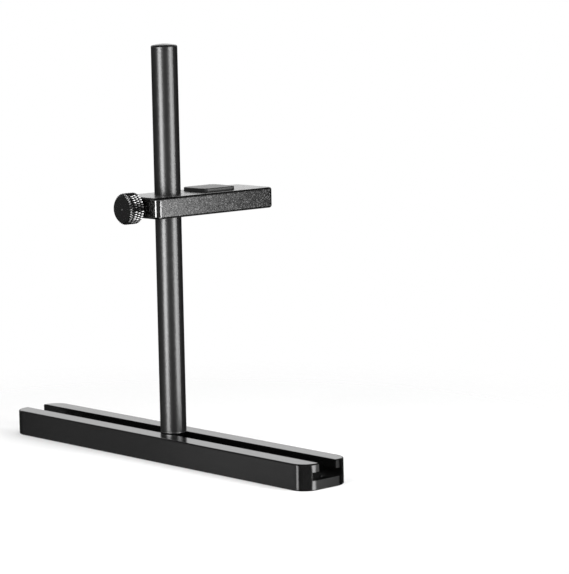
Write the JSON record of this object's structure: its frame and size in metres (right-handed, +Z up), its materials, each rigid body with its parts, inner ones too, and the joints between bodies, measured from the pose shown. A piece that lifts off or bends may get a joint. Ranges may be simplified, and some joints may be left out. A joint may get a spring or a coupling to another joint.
{
  "type": "graphics card support bracket",
  "caption": "Slotted black aluminium rail with a sliding round post and a padded arm, clamped at any height by a knurled thumb screw, to prop up a graphics card from below.",
  "frame": {"origin": "middle of the rail's underside", "axes": "+X along the rail, +Y along the arm away from the thumb screw, +Z up the post"},
  "size_m": [0.1376, 0.0538, 0.1264],
  "materials": {
    "rail_anodised": "black anodised, satin",
    "post_anodised": "black anodised, fine blasted",
    "arm_blasted": "black anodised, bead blasted",
    "screw_anodised": "black anodised, diamond knurl",
    "nut_steel": "black oxide",
    "pad_rubber": "matt"
  },
  "bodies": {
    "base": {"base_rail": "rail_anodised"},
    "slider": {"slide_nut": "nut_steel", "post_stud": "nut_steel"},
    "post": {"post": "post_anodised"},
    "arm": {"arm": "arm_blasted", "arm_pad": "pad_rubber"},
    "thumb_screw": {"thumb_screw": "screw_anodised"}
  },
  "joints": [
    {"name": "rail_slide", "type": "slide", "parent": "base", "child": "slider", "axis": [1, 0, 0], "range_m": [-0.0587, 0.0573]},
    {"name": "post_turn", "type": "hinge", "parent": "slider", "child": "post", "pos_m": [0.0007, 0, 0.01], "axis": [0, 0, 1], "range_deg": [-180, 180]},
    {"name": "arm_height", "type": "slide", "parent": "post", "child": "arm", "axis": [0, 0, 1], "range_m": [-0.064, 0.044]},
    {"name": "thumb_turn", "type": "hinge", "parent": "arm", "child": "thumb_screw", "pos_m": [0.0007, -0.01295, 0.07775], "axis": [0, -1, 0], "range_deg": [0, 360]}
  ]
}
